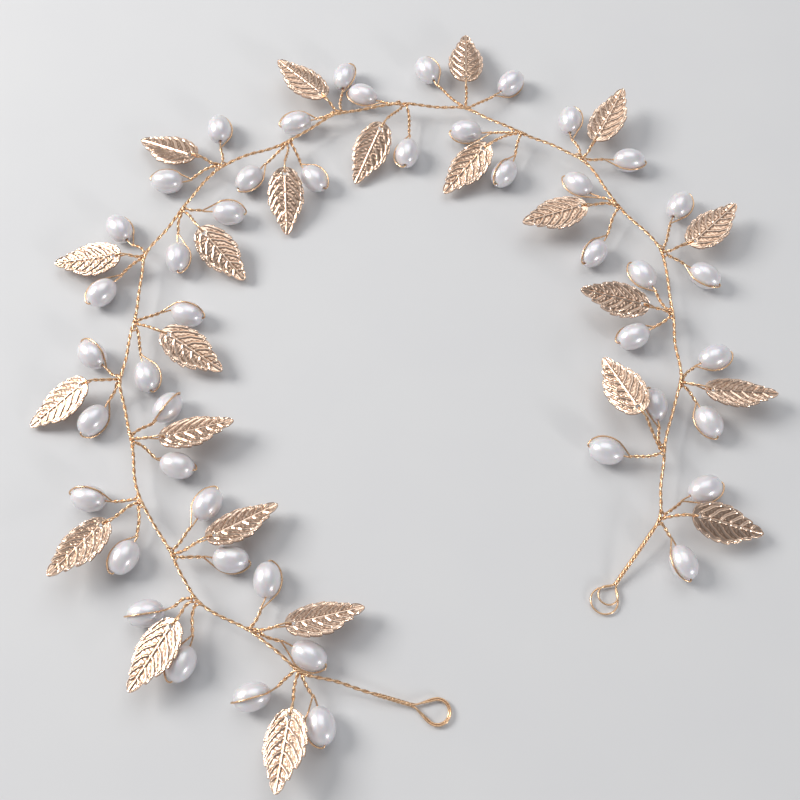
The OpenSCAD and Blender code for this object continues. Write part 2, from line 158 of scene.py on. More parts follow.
# %% The centre line
STEP, SMOOTHING, CALM_END = 0.2, 5, 20.0
bend_points = {k: MM_IN_M * np.array(joints[f"bend_{k}"]["pos_m"]) for k in BENDS}
main_bars = {k: max(solids, key=lambda s: len(s[0])) for k, solids in wire_sections.items()}
runs = [ring_middles(*main_bars[1], bend_points[1])[::-1]]
runs += [ring_middles(*main_bars[k], bend_points[k - 1]) for k in LENGTHS[1:]]
stem_path = smoothed(evenly(np.concatenate(runs), STEP), SMOOTHING)
stem_s = STEP * np.arange(len(stem_path))
stem_length = stem_s[-1]
calm = np.clip(np.minimum(stem_s, stem_length - stem_s) / CALM_END, 0, 1)
stem_level = unit(np.cross(UP, unit(np.gradient(stem_path, axis=0))))


def wave(high, reach, start=0):
    """A wave along the stem: high times the sine of start plus distance over reach."""
    return high * np.sin(stem_s / reach + start)


sideways, upwards = wave(0.16, 3.1) + wave(0.12, 1.9, 2), wave(0.14, 4.3, 1) + wave(0.1, 2.3)
stem_path = stem_path + (calm * sideways)[:, None] * stem_level + (calm * upwards)[:, None] * UP
print("stem: %.1f mm in %d points" % (stem_length, len(stem_path)))

# %% [markdown]
# ## Round wire
#
# Everything soft here is 0.4 mm wire. A Blender curve with a bevel would also give a tube, but a mesh can
# be cut exactly where the stem bends. A tube is a circle carried along a path. The circle must not spin on
# the way, so its first direction is carried from ring to ring, each time made square to the path again.

# %% Tubes from paths
WIRE, SNIPPED = 0.2, 0.6  # the wire's radius, and what a snipped end keeps of it
RING_START = (0.13, 0.21, 0.97)  # any direction that no wire runs along


def carried(path):
    """Two directions square to the path at each point: the first is the one before it with its part
    along the path taken away, the second is the cross product of the path's direction and the first."""
    along = unit(np.gradient(path, axis=0))
    side = np.empty_like(path)
    previous = np.array(RING_START)
    for k, t in enumerate(along):
        previous = previous - (previous @ t) * t
        previous = previous / np.linalg.norm(previous)
        side[k] = previous
    return side, np.cross(along, side)


def tube(path, sides=10, ends=(SNIPPED, SNIPPED)):
    """A closed round wire: point (k, a) lies at the wire's radius times (cos a, sin a) in the two carried
    directions at point k. ends are shares of the radius at the two ends: under 1 where the wire is
    snipped, and 1 where the next piece goes on."""
    side, other = carried(path)
    a = 2 * np.pi * np.arange(sides) / sides
    thick = np.full(len(path), WIRE)
    thick[[0, -1]] *= ends
    ring = np.cos(a)[None, :, None] * side[:, None] + np.sin(a)[None, :, None] * other[:, None]
    points = path[:, None] + thick[:, None, None] * ring
    k, c = np.meshgrid(np.arange(len(path) - 1), np.arange(sides), indexing="ij")
    n = (c + 1) % sides
    quads = np.stack([k * sides + c, k * sides + n, (k + 1) * sides + n, (k + 1) * sides + c], axis=-1)
    last = (len(path) - 1) * sides
    caps = [list(range(sides - 1, -1, -1)), list(range(last, last + sides))]
    return points.reshape(-1, 3), quads.reshape(-1, 4).tolist() + caps


# %% From arrays to pieces
def joined(parts):
    """Several (points, faces) as one: face numbers move up by the points that come before them."""
    start = np.cumsum([0] + [len(p) for p, _ in parts])
    faces = [[int(i + s) for i in f] for (_, fs), s in zip(parts, start) for f in fs]
    return np.concatenate([p for p, _ in parts]), faces


def make_piece(name, points, faces, material, body=None, replaces=()):
    """A mesh object with its place in its mesh, a material and, if it is given, a body to ride on. Faces
    of three or four corners are smooth; a wire's flat end has more, and stays flat."""
    mesh = bpy.data.meshes.new(name)
    mesh.from_pydata((points * MM).tolist(), [], faces)
    mesh.polygons.foreach_set("use_smooth", np.array([len(f) < 5 for f in faces]))
    mesh.materials.append(material)
    mesh.update()
    piece = bpy.data.objects.new(name, mesh)
    bpy.context.scene.collection.objects.link(piece)
    if body:
        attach(piece, body)
    if replaces:
        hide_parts(*replaces)
    return piece


# %% [markdown]
# ## Shader maths as Python
#
# A node tree is easier to read as an expression. The small class below wraps one socket, so that
# `1 - mask * 0.4` adds the Math nodes for us. Every other node comes from one method.

# %% Sockets that do maths
class Value:
    """A socket of a material: +, - and * on it add Math nodes."""

    def __init__(self, paint, socket):
        self.paint, self.socket = paint, socket

    def maths(self, operation, *values):
        return self.paint.node("ShaderNodeMath", {"operation": operation}, dict(enumerate(values)))

    def __add__(self, other):
        return self.maths("ADD", self, other)

    def __sub__(self, other):
        return self.maths("SUBTRACT", self, other)

    def __rsub__(self, other):
        return self.maths("SUBTRACT", other, self)

    def __mul__(self, other):
        return self.maths("MULTIPLY", self, other)

    __radd__, __rmul__ = __add__, __mul__


MIX_SHARE, MIX_A, MIX_B, MIX_RESULT = 0, 6, 7, 2


class Paint:
    """A material with one Principled surface. Constants go straight to the surface's own sockets."""

    def __init__(self, name, **constants):
        self.material = bpy.data.materials.new(name)
        self.material.use_nodes = True
        self.tree = self.material.node_tree
        self.surface = self.tree.nodes["Principled BSDF"]
        self.set(self.surface, {k.replace("_", " "): v for k, v in constants.items()})

    def set(self, node, sockets):
        for key, value in sockets.items():
            if isinstance(value, Value):
                self.tree.links.new(value.socket, node.inputs[key])
            else:
                node.inputs[key].default_value = value

    def node(self, kind, settings=(), sockets=(), output=0):
        """Any node: its settings first, then the values or links of its sockets; gives one output."""
        node = self.tree.nodes.new(kind)
        for key, value in dict(settings).items():
            if key == "stops":
                ramp = node.color_ramp.elements
                while len(ramp) < len(value):
                    ramp.new(0.5)
                for stop, (place, colour) in zip(ramp, value):
                    stop.position, stop.color = place, (*colour, 1)
            else:
                setattr(node, key, value)
        self.set(node, dict(sockets))
        return Value(self, node.outputs[output])

    def mix(self, share, a, b):
        """Colour a where share is 0 and colour b where it is 1."""
        colours = [v if isinstance(v, Value) else (*v, 1) for v in (a, b)]
        sockets = {MIX_SHARE: share, MIX_A: colours[0], MIX_B: colours[1]}
        return self.node("ShaderNodeMix", {"data_type": "RGBA"}, sockets, MIX_RESULT)

    def where(self):
        """The place on the piece, in metres from the frame's origin."""
        return self.node("ShaderNodeTexCoord", output="Object")

    def noise(self, where, scale, detail=2.0):
        return self.node("ShaderNodeTexNoise", {}, {"Vector": where, "Scale": scale, "Detail": detail})

    def bump(self, strength, high_mm, height):
        """A normal tilted by the slope of a height, which is high_mm millimetres where it is 1."""
        sockets = {"Strength": strength, "Distance": high_mm * MM, "Height": height}
        return self.node("ShaderNodeBump", {}, sockets)

    def use(self, **links):
        self.set(self.surface, {k.replace("_", " "): v for k, v in links.items()})


# %% [markdown]
# ## Gold wire
#
# Craft wire for vines is copper with a thin light gold plating. It is bright and fairly smooth, with
# slightly duller and redder patches where the pliers and the twisting have rubbed it. A metal's colour is
# the colour of its reflections, so the colour is set high and the roughness is low but uneven.

# %% Wire material
GOLD, RUBBED_GOLD = (0.90, 0.63, 0.40), (0.70, 0.44, 0.26)
wire_paint = Paint("light_gold_wire", Metallic=1.0)
where = wire_paint.where()
rubbed = wire_paint.noise(where, scale=900.0, detail=3.0)
wire_paint.use(
    Base_Color=wire_paint.mix(rubbed, GOLD, RUBBED_GOLD),
    Roughness=rubbed * 0.22 + 0.16,
    Normal=wire_paint.bump(0.25, 0.02, wire_paint.noise(where, scale=6000.0)))
print("wire material:", len(wire_paint.tree.nodes), "nodes")

# %% [markdown]
# ## The twisted stem
#
# Two strands lie against each other and turn once every 4 mm, so each strand's centre runs one wire
# radius from the stem's centre line. A Simple Deform modifier could twist two straight tubes, but it
# turns evenly, and hand twisting never does: here the turn runs a little ahead and behind. Near each
# eyelet the wire goes round, comes back and is wound in, so there four strands make a square bundle. A
# strand that joins the bundle moves out from the centre over a short way.

# %% Where each strand lies
TURN, FIRST_TAIL, LAST_TAIL, JOINS_OVER = 4.0, 8.0, 15.0, 2.0
PAIR, BUNDLE, ROUNDING = WIRE, WIRE * 2**0.5, 1e-9
side_dir, up_dir = stem_level, np.cross(unit(np.gradient(stem_path, axis=0)), stem_level)


def ease(x):
    """0 before 0, 1 after 1, and a smooth rise in between: 3x squared minus 2x cubed."""
    x = np.clip(x, 0, 1)
    return x * x * (3 - 2 * x)


wound_first = 1 - ease((stem_s - FIRST_TAIL) / JOINS_OVER + 0.5)
wound_last = ease((stem_s - stem_length + LAST_TAIL) / JOINS_OVER + 0.5)
bundle_share = np.maximum(wound_first, wound_last)
whole_turns = round(stem_length / TURN)
turned = 2 * np.pi * whole_turns * stem_s / stem_length + calm * (wave(0.35, 6.7) + wave(0.25, 3.7, 1))


def strand(quarter, s_from, s_to):
    """Centre of a strand between two places along the stem: out from the centre line by the pair's or
    the bundle's radius, at the twist's angle plus a number of quarter turns."""
    angle = turned + np.pi / 4 + quarter * np.pi / 2
    out = (PAIR + (BUNDLE - PAIR) * bundle_share)[:, None]
    line = stem_path + out * (np.cos(angle)[:, None] * up_dir + np.sin(angle)[:, None] * side_dir)
    return line[(stem_s >= s_from - ROUNDING) & (stem_s <= s_to + ROUNDING)]


def place_of(point):
    """Distance along the stem of the stem point nearest to a given point."""
    return stem_s[np.argmin(np.linalg.norm(stem_path - point, axis=1))]


bend_s = {k: place_of(p) for k, p in bend_points.items()}
print("bends at", [round(float(s)) for s in bend_s.values()], "mm along the stem")

# %% [markdown]
# ## Eyelets
#
# At the first end both strands go round side by side and make a drop-shaped loop. At the last end they
# part: one makes a larger ring, the other a smaller ring inside it. Such a drop is made by bending the wire
# round a peg, so its path is straight from the root to the peg's circle, round it, and straight back. A
# curve drawn by hand would do too, but this path needs only a length and a width, and both can be measured
# on the model's own loops.

# %% Loops of the eyelets
FULLEST, FADES_OVER, TRIM, BEYOND, END_SPAN = 0.48, 0.2, 2, 0.3, 10


def drop_loop(root, away, size, outward, rise, count=90):
    """A drop from the left of the root round to its right, one strand: the tangents from the root to a
    circle, and the arc between them. With outward, the strand starts above or below its partner by rise
    and turns to lie outside or inside it; else it stays at rise."""
    radius = min(size[1] / 2, FULLEST * size[0])
    middle = size[0] - radius
    reach = np.pi - np.arccos(radius / middle)
    a = np.linspace(reach, -reach, count)
    x = np.concatenate([[0], middle + radius * np.cos(a), [0]])
    y = np.concatenate([[0], radius * np.sin(a), [0]])
    bent = smoothed(evenly(np.stack([x, y, 0 * x], axis=1), count=count), TRIM)
    t = np.linspace(0, 1, count)
    left = np.cross(UP, away)
    flat = root + bent[:, :1] * away + (bent[:, 1] + WIRE * np.cos(np.pi * t))[:, None] * left
    out = np.cross(UP, unit(np.gradient(flat, axis=0)))
    fade = ease(np.minimum(t, 1 - t) / FADES_OVER)[:, None] * (outward != 0)
    return (flat + fade * outward * out + (1 - fade) * rise * UP)[TRIM:-TRIM]


def loop_size(points, root, away):
    """Length and width of the loop that the corners beyond the root make, between wire centres."""
    left = np.cross(UP, away)
    beyond = points[(points - root) @ away > BEYOND] - root
    return (beyond @ away).max() - WIRE, 2 * (np.abs(beyond @ left).max() - WIRE)


def flat_unit(v):
    """The part of a vector that lies along the floor, divided by its length."""
    return unit(v * (1 - UP))


start_root, start_away = stem_path[0], flat_unit(stem_path[0] - stem_path[END_SPAN])
end_root, end_away = stem_path[-1], flat_unit(stem_path[-1] - stem_path[-1 - END_SPAN])
start_size = loop_size(main_bars[1][0], start_root, start_away)
outer_size = loop_size(main_bars[7][0], end_root, end_away)
inner_size = loop_size(min(wire_sections[7], key=lambda p: len(p[0]))[0], end_root, end_away)
print("eyelets:", np.round([start_size, outer_size, inner_size], 1).tolist())

# %% Stem wires with their eyelets
LAP, ROOT_GAP = 3.0, 0.4
start_double = [drop_loop(start_root, start_away, start_size, o * WIRE, -o * WIRE) for o in (-1, 1)]
outer_loop = drop_loop(end_root, end_away, outer_size, 0, -WIRE)
inner_loop = drop_loop(end_root, end_away, inner_size, 0, WIRE)
from_start = {q: strand(q, ROOT_GAP, bend_s[1] - LAP) for q in (0, 2)}
from_end = {q: strand(q, bend_s[6] + LAP, stem_length - ROOT_GAP) for q in (0, 2)}
first_tails = {q: strand(q, ROOT_GAP, FIRST_TAIL) for q in (1, 3)}
last_tails = {q: strand(q, stem_length - LAST_TAIL, stem_length - ROOT_GAP) for q in (1, 3)}


def wire_way(*parts):
    """Parts of a wire, one after another, evenly spaced again and slightly smoothed where they meet."""
    return smoothed(evenly(np.concatenate(parts), STEP), 1)


stem_ways = {
    1: [(wire_way(from_start[0][::-1], start_double[0][::-1], first_tails[3]), (1, SNIPPED)),
        (wire_way(from_start[2][::-1], start_double[1], first_tails[1]), (1, SNIPPED))],
    7: [(wire_way(from_end[2], outer_loop[::-1], last_tails[1][::-1]), (1, SNIPPED)),
        (wire_way(from_end[0], inner_loop, last_tails[3][::-1]), (1, SNIPPED))]}
for k in LENGTHS[1:-1]:
    stem_ways[k] = [(strand(q, bend_s[k - 1] + LAP, bend_s[k] - LAP), (1, 1)) for q in (0, 2)]
for k, ways in stem_ways.items():
    points, faces = joined([tube(way, ends=ends) for way, ends in ways])
    make_piece(f"stem_length_{k}", points, faces, wire_paint.material, f"length_{k}",
               [f"stem_wires_{k}"])
    print(f"stem length {k}: {len(faces)} faces")

# %% [markdown]
# ## The stem where it bends
#
# The real wire bends softly anywhere. The model bends it at six places. Two stiff lengths would open a gap
# on the outside of such a bend, so the 6 mm of stem round it is a piece of its own, which rides on neither
# body. Its ends meet the stem lengths ring on ring.

# %% Six soft bends
for k in BENDS:
    low, high = bend_s[k] - LAP, bend_s[k] + LAP
    points, faces = joined([tube(strand(q, low, high), ends=(1, 1)) for q in (0, 2)])
    piece = make_piece(f"stem_bend_{k}", points, faces, wire_paint.material)
    ends = [stem_path[int(round(at / STEP))] * MM for at in (low, high)]
    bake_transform(piece)
print("bends:", len(BENDS))

# %% [markdown]
# ## What the model says about each twig
#
# Every twig is a solid of its own. The four corners that lie farthest from its pearl or leaf are its root,
# beside the stem. A pearl's long axis is the direction in which its corners spread most, which is the last
# of their principal axes. The side on which the wire comes back is the mean direction of the twig's
# corners that lie beside the pearl.

# %% Where each pearl and leaf lies
pearls, leaves = [], []
for name in sorted(n for n in frame["nodes"] if n.startswith("pearls_")):
    for points, faces in solids_of(name):
        centre = (points.min(axis=0) + points.max(axis=0)) / 2
        spread, axes = np.linalg.eigh(np.cov((points - centre).T))
        pearls.append({"node": name, "centre": centre, "along": axes[:, -1],
                       "half": np.abs((points - centre) @ axes[:, -1]).max(),
                       "radius": np.linalg.norm(np.cross(points - centre, axes[:, -1]), axis=1).max()})
for name in sorted(n for n in frame["nodes"] if n.startswith("leaf_")):
    joint = joints[f"{name}_swivel"]
    points = np.concatenate([p for p, f in solids_of(name)])
    hole, normal = MM_IN_M * np.array(joint["pos_m"]), unit(np.array(joint["axis"]))
    tip = points[np.argmax(np.linalg.norm(points - hole, axis=1))] - hole
    along = unit(tip - (tip @ normal) * normal)
    leaves.append({"node": name, "centre": hole, "normal": normal, "along": along,
                   "across": np.cross(normal, along)})
print(len(pearls), "pearls,", len(leaves), "leaves; a pearl is %.1f x %.1f mm" % (
    2 * pearls[0]["half"], 2 * pearls[0]["radius"]))

# %% Which twig holds each of them
TURN_BACK, NEAR_HOLE, NEAR_PEARL, MOST = 4.2, 2.2, 1.0, 0.9
twig_solids = [(k, points) for k in LENGTHS for points, faces in solids_of(f"twig_wires_{k}")]
for item in pearls + leaves:
    is_pearl, near = "half" in item, []
    for k, points in twig_solids:
        away = np.linalg.norm(points - item["centre"], axis=1)
        near.append(away.min() + (abs(away - TURN_BACK).min() if is_pearl else 0))
    item["length"], points = twig_solids[int(np.argmin(near))]
    away = np.linalg.norm(points - item["centre"], axis=1)
    item["root"] = points[np.argsort(away)[-RING_CORNERS:]].mean(axis=0)
    if is_pearl:
        item["along"] = item["along"] * np.sign(item["along"] @ (item["centre"] - item["root"]))
        rel = points - item["centre"]
        rel = rel[away < item["half"] + NEAR_PEARL]
        rel = rel[np.abs(rel @ item["along"]) < MOST * item["half"]]
        beside = rel - np.outer(rel @ item["along"], item["along"])
        beside = beside[np.linalg.norm(beside, axis=1) > MOST * item["radius"]]
        item["side"] = unit(beside.mean(axis=0))
    else:
        loop = points[away < NEAR_HOLE].mean(axis=0) - item["centre"]
        item["arm"] = -unit(loop - (loop @ item["normal"]) * item["normal"])
print("twigs on each length:", [sum(i["length"] == k for i in pearls + leaves) for k in LENGTHS])

# %% [markdown]
# ## Twigs
#
# A twig is one wire. It leaves the stem, goes out, through the pearl, back round its outside, and is then
# twisted with itself. So one path per twig is enough: along one strand of the twist, round the loop, and
# back along the other strand. At the stem both ends lie down along the stem's own strands and vanish
# between them. A real twig is never straight, so each one bows a little, by an amount that depends only
# on its number, which keeps the result the same on every run.

# %% The twisted part of a twig
TWIG_TURN, POINTS_A_TURN = 3.0, 14
ARCH, LIFT, SNAKE, UNEVEN = 0.4, 0.3, 0.12, 0.5


def chance(number, which):
    """A fixed number between -1 and 1 for each twig: a sine of a large multiple, nearly without order."""
    return float(np.sin(12.9898 * number + 78.233 * which + 0.5))


def twist(root, fork, first, number):
    """Both strands from root to fork. The axis is a line with a low arch across it; the strands lie one
    wire radius out at opposite angles, and the angle grows with distance, a little unevenly."""
    along = unit(fork - root)
    length = np.linalg.norm(fork - root)
    t = np.linspace(0, 1, int(POINTS_A_TURN * length / TWIG_TURN) + 2)[:, None]
    e1 = unit(first - (first @ along) * along)
    e2 = np.cross(along, e1)
    level = np.cross(UP, along)
    arch = ARCH * chance(number, 1) * level + LIFT * chance(number, 2) * UP
    snake = SNAKE * chance(number, 3) * level
    axis = root + (fork - root) * t + arch * np.sin(np.pi * t) + snake * np.sin(2 * np.pi * t)
    angle = 2 * np.pi * length / TWIG_TURN * (t - 1) + UNEVEN * chance(number, 4) * np.sin(2 * np.pi * t)
    out = WIRE * (np.cos(angle) * e1 + np.sin(angle) * e2)
    return axis + out, axis - out


# %% The ends on the stem
LAID, RIDGE, SINK = 2.0, 0.36, 0.2


def laid_on_stem(start, way):
    """From a point beside the stem along the stem's strands: the angle round the stem goes on with the
    stem's twist, and the distance from its centre line falls until the wire is between the strands."""
    k = int(round(place_of(start) / STEP))
    q = np.array([0.2, 0.45, 0.7, 1.0])
    i = np.clip(k + (way * LAID * q / STEP).astype(int), 0, len(stem_path) - 1)
    rel = start - stem_path[k]
    angle = np.arctan2(rel @ side_dir[k], rel @ up_dir[k]) + turned[i] - turned[k]
    out = RIDGE + (np.linalg.norm(rel) - RIDGE) * (1 - ease(q / 0.5)) - SINK * ease((q - 0.6) / 0.4)
    outwards = np.cos(angle)[:, None] * up_dir[i] + np.sin(angle)[:, None] * side_dir[i]
    return stem_path[i] + out[:, None] * outwards


# %% Round a pearl and through a leaf
TIGHT, SLACK, BLUNT = 0.03, 0.09, 0.94


def pearl_loop(pearl, number):
    """Round the pearl, in its own plane of (along, side): through the bore, a small bow outside the far
    end, then one wire radius and a little slack off the surface, until it leaves the flank for the fork."""
    half, wide = pearl["half"], pearl["radius"]
    slack = TIGHT + SLACK * (1 + chance(number, 5)) * np.array([1.0, 0.8, 0.4, 0.1, 0.0])
    a = np.radians([38, 62, 90, 118, 142])
    x = np.concatenate([[-half + 0.3, 0, half - 0.3, half + 0.08, half + 0.32, half + 0.24],
                        (half + WIRE + slack) * np.cos(a)])
    y = np.concatenate([[0, 0, 0, 0.05, 0.42, 1.05], (wide + WIRE + slack) * np.sin(a) ** BLUNT])
    return pearl["centre"] + x[:, None] * pearl["along"] + y[:, None] * pearl["side"]


def leaf_loop(leaf):
    """Over the raised rim at the base of the leaf, down through its hole and back below, in the plane of
    (arm, normal)."""
    x = np.array([-2.0, -1.45, -0.95, -0.55, -0.31, -0.27, -0.31, -0.55, -0.95, -1.45, -2.0])
    z = np.array([0.44, 0.50, 0.48, 0.42, 0.25, 0.0, -0.25, -0.42, -0.45, -0.46, -0.43])
    return leaf["centre"] + x[:, None] * leaf["arm"] + z[:, None] * leaf["normal"]


# %% The whole wire of each twig
def curve_through(points, per_span=6):
    """A smooth line through all the points: between two of them a cubic whose slope at each point is
    half the step from the point before it to the point after it."""
    p = np.concatenate([[2 * points[0] - points[1]], points, [2 * points[-1] - points[-2]]])
    t = (np.arange(per_span) / per_span)[None, :, None]
    a, b, c, d = (p[i:len(p) - 3 + i, None] for i in range(4))
    line = 0.5 * (2 * b + (c - a) * t + (2 * a - 5 * b + 4 * c - d) * t**2 + (3 * b - a - 3 * c + d) * t**3)
    return np.concatenate([line.reshape(-1, 3), points[-1:]])


FORK_GAP, LEAF_ARM, SPLIT, SPLIT_VARIES, WAY_STEP = 0.7, 2.9, 0.9, 0.6, 0.22
for number, item in enumerate(pearls + leaves):
    if "half" in item:
        fork = item["centre"] - (item["half"] + FORK_GAP) * item["along"]
        fork = fork - (SPLIT + SPLIT_VARIES * chance(number, 11)) * unit(fork - item["root"])
        first, loop = -item["side"], pearl_loop(item, number)
    else:
        fork = item["centre"] - LEAF_ARM * item["arm"]
        first, loop = item["normal"], leaf_loop(item)
    out_way, back_way = twist(item["root"], fork, first, number)
    coarse = [laid_on_stem(out_way[0], -1)[::-1], out_way[:-1], loop,
              back_way[-2::-1], laid_on_stem(back_way[0], 1)]
    item["way"] = evenly(curve_through(np.concatenate(coarse)), WAY_STEP)
print("wire in the twigs: %.0f mm" % (WAY_STEP * sum(len(i["way"]) for i in pearls + leaves)))

# %% Twig pieces
for k in LENGTHS:
    points, faces = joined([tube(i["way"], sides=8) for i in pearls + leaves if i["length"] == k])
    make_piece(f"twigs_{k}", points, faces, wire_paint.material, f"length_{k}", [f"twig_wires_{k}"])
    print(f"twigs {k}: {len(faces)} faces")

# %% [markdown]
# ## Nacre
#
# Nacre is many thin clear layers over a pale core, so it shines twice: softly and broadly from inside, and
# sharply from its skin. A plain glossy white would look like plastic. So a soft, slightly metallic base
# lies under a clear coat, a slow noise moves its colour between warm and cool, and a finer one makes it
# milky in places and uneven to the touch.

# %% Nacre
WARM, COOL, MILKY = (0.80, 0.755, 0.735), (0.72, 0.725, 0.80), (0.84, 0.81, 0.81)
pearl_paint = Paint("pearl_nacre", Metallic=0.3, Coat_Roughness=0.06, Coat_IOR=1.6, IOR=1.55,
                    Subsurface_Weight=0.2, Subsurface_Scale=0.0015)
where = pearl_paint.where()
cloudy = pearl_paint.noise(where, scale=260.0)
layered = pearl_paint.noise(where, scale=700.0, detail=4.0)
pearl_paint.use(
    Base_Color=pearl_paint.mix(layered * 0.35, pearl_paint.mix(cloudy, WARM, COOL), MILKY),
    Roughness=layered * 0.14 + 0.26,
    Coat_Weight=cloudy * 0.25 + 0.6,
    Normal=pearl_paint.bump(0.12, 0.1, layered))
print("pearl material:", len(pearl_paint.tree.nodes), "nodes")


# %% [markdown]
# ## Pearls
#
# A rice pearl is longer than it is wide and has blunt ends round its bore. A stretched sphere would have
# no bore, and two poles where its faces shrink to points. This is a surface of revolution whose profile
# goes back through the bore, so it is a ring with no poles to close. No two are alike: one end is a little
# fuller, and the outline wavers by a hundredth.

# %% Pearl surface
RIM_ANGLE, SKIN, BORE, FULLER, WAVERS = 0.2, 0.985, 0.42, 0.035, 0.006


def pearl_surface(pearl, number, around=40, profile=36):
    """Point (k, b): along the pearl by the profile's x at k, out by the profile's r at k in the direction
    of angle b. Outside, x is -half cos a and r is wide sin a to a power just under 1, with a fuller end;
    the profile then goes back through the bore."""
    half, wide = pearl["half"], pearl["radius"]
    a = np.linspace(RIM_ANGLE, np.pi - RIM_ANGLE, profile)
    fuller = 1 + FULLER * chance(number, 6) * np.cos(a)
    in_bore = half * np.array([0.93, 0.5, -0.5, -0.93])
    x = np.concatenate([-SKIN * half * np.cos(a) / np.cos(RIM_ANGLE), in_bore])
    r = np.concatenate([SKIN * wide * np.sin(a) ** BLUNT * fuller, np.full(len(in_bore), BORE)])
    b = 2 * np.pi * np.arange(around) / around
    across = np.cross(pearl["along"], pearl["side"])
    waver = np.sin(b + 3 * chance(number, 7)) + np.sin(2 * b + 3 * chance(number, 8))
    out = r[:, None] * (1 + WAVERS * waver)
    points = (pearl["centre"] + x[:, None, None] * pearl["along"]
              + (out * np.cos(b))[..., None] * pearl["side"] + (out * np.sin(b))[..., None] * across)
    k, c = np.meshgrid(np.arange(len(x)), np.arange(around), indexing="ij")
    n, m = (k + 1) % len(x), (c + 1) % around
    quads = np.stack([k * around + c, k * around + m, n * around + m, n * around + c], axis=-1)
    return points.reshape(-1, 3), quads.reshape(-1, 4)[:, ::-1].tolist()


for name in sorted({p["node"] for p in pearls}):
    parts = [pearl_surface(p, number) for number, p in enumerate(pearls) if p["node"] == name]
    points, faces = joined(parts)
    make_piece(name.replace("pearls", "rice_pearls"), points, faces, pearl_paint.material,
               body_of_node[name], [name])
print("pearl faces:", len(faces) // 2, "each")

# %% [markdown]
# ## Stamped leaves
#
# A leaf is cut and stamped from thin brass in one stroke: a plain round base with the hole, five lobes on
# each side that lean towards the tip, and a blunt tongue. The stamp raises a midrib, arched side veins, a
# scalloped line along the margin and a rim, and between them rows of small grains. The surface is a height
# over a grid of rows along the leaf and columns across it, with the rows placed so that every lobe gets its
# notch and its shoulder. All of this is real geometry, because the glints on a stamped leaf come from
# slopes that the camera can resolve; only the finest unevenness is left to a bump. The relief is also
# stored on the mesh, so that painted shade can darken the hollows.

# %% The grid of a leaf
# In mm: length, width, thickness, the hole's place from the base, the cup's radius and the hole's
LEAF_LONG, LEAF_WIDE, SHEET, INSET, CUP, HOLE = 17.0, 9.2, 0.35, 1.6, 24.0, 0.55
# Shares of the length, but the notch's depth is in mm
LOBES, FIRST_NOTCH, LAST_NOTCH, SHOULDER, NOTCH = 5, 0.11, 0.835, 0.55, 0.42
FIRST_ROW, LAST_ROW, LOBE_ROWS, TONGUE_ROWS, COLUMNS = 0.002, 0.9985, 22, 24, 85
VEIN_PITCH = (LAST_NOTCH - FIRST_NOTCH) * LEAF_LONG / LOBES


def half_width(share):
    """Half the leaf's width at a share of its length: a sine of a stretched share, made fuller, with a
    quicker taper from the shoulder on."""
    full = LEAF_WIDE / 2 * np.sin(np.pi * share**0.75) ** 0.6
    return full * (1 - 0.22 * np.clip((share - SHOULDER) / 0.2, 0, 1))


base_rows = FIRST_ROW + (FIRST_NOTCH - FIRST_ROW) * np.linspace(0, 1, LOBE_ROWS)[:-1] ** 1.25
lobe_rows = FIRST_NOTCH + (LAST_NOTCH - FIRST_NOTCH) * np.arange(LOBES * LOBE_ROWS) / (LOBES * LOBE_ROWS)
tongue_rows = LAST_NOTCH + (LAST_ROW - LAST_NOTCH) * np.linspace(0, 1, TONGUE_ROWS) ** 0.8
shares = np.concatenate([base_rows, lobe_rows, tongue_rows])
in_lobe = (shares - FIRST_NOTCH) / (LAST_NOTCH - FIRST_NOTCH) * LOBES
# How deep the margin is cut at each row: fully at a notch, less at the first, gently into the tongue.
cut = np.interp(in_lobe % 1, [0, 0.3, 0.65, 0.92, 1], [1, 0.3, 0, 0.05, 1])
cut = cut * np.where(in_lobe < 0.3, 0.6, 1)
cut = np.where((in_lobe < -ROUNDING) | (in_lobe > LOBES + ROUNDING), 0, cut)
cut = np.where(in_lobe > LOBES, np.interp(in_lobe - LOBES, [0, 0.55], [1, 0]), cut)
edge = half_width(shares) - NOTCH * cut
spread = np.linspace(-1, 1, COLUMNS)
columns = 0.75 * spread + 0.25 * np.sin(np.pi / 2 * spread)
print("leaf grid:", len(shares), "rows by", len(columns), "columns")


# %% Relief of a leaf
LEAN, LEAN_GROWS, FIRST_VEIN, STAGGER = 0.744, 0.785, 3.4, 0.45
# Heights of what the stamp leaves, in mm
MIDRIB, VEIN, GROOVE, GRAIN, PANEL = 0.15, 0.20, 0.05, 0.045, 0.06
SCALLOP, HATCH, RIM, ROUNDED = 0.15, 0.06, 0.10, 0.09


def bell(distance, reach):
    """A round ridge: 1 at distance 0 and falling off on both sides over the reach."""
    return np.exp(-((distance / reach) ** 2))


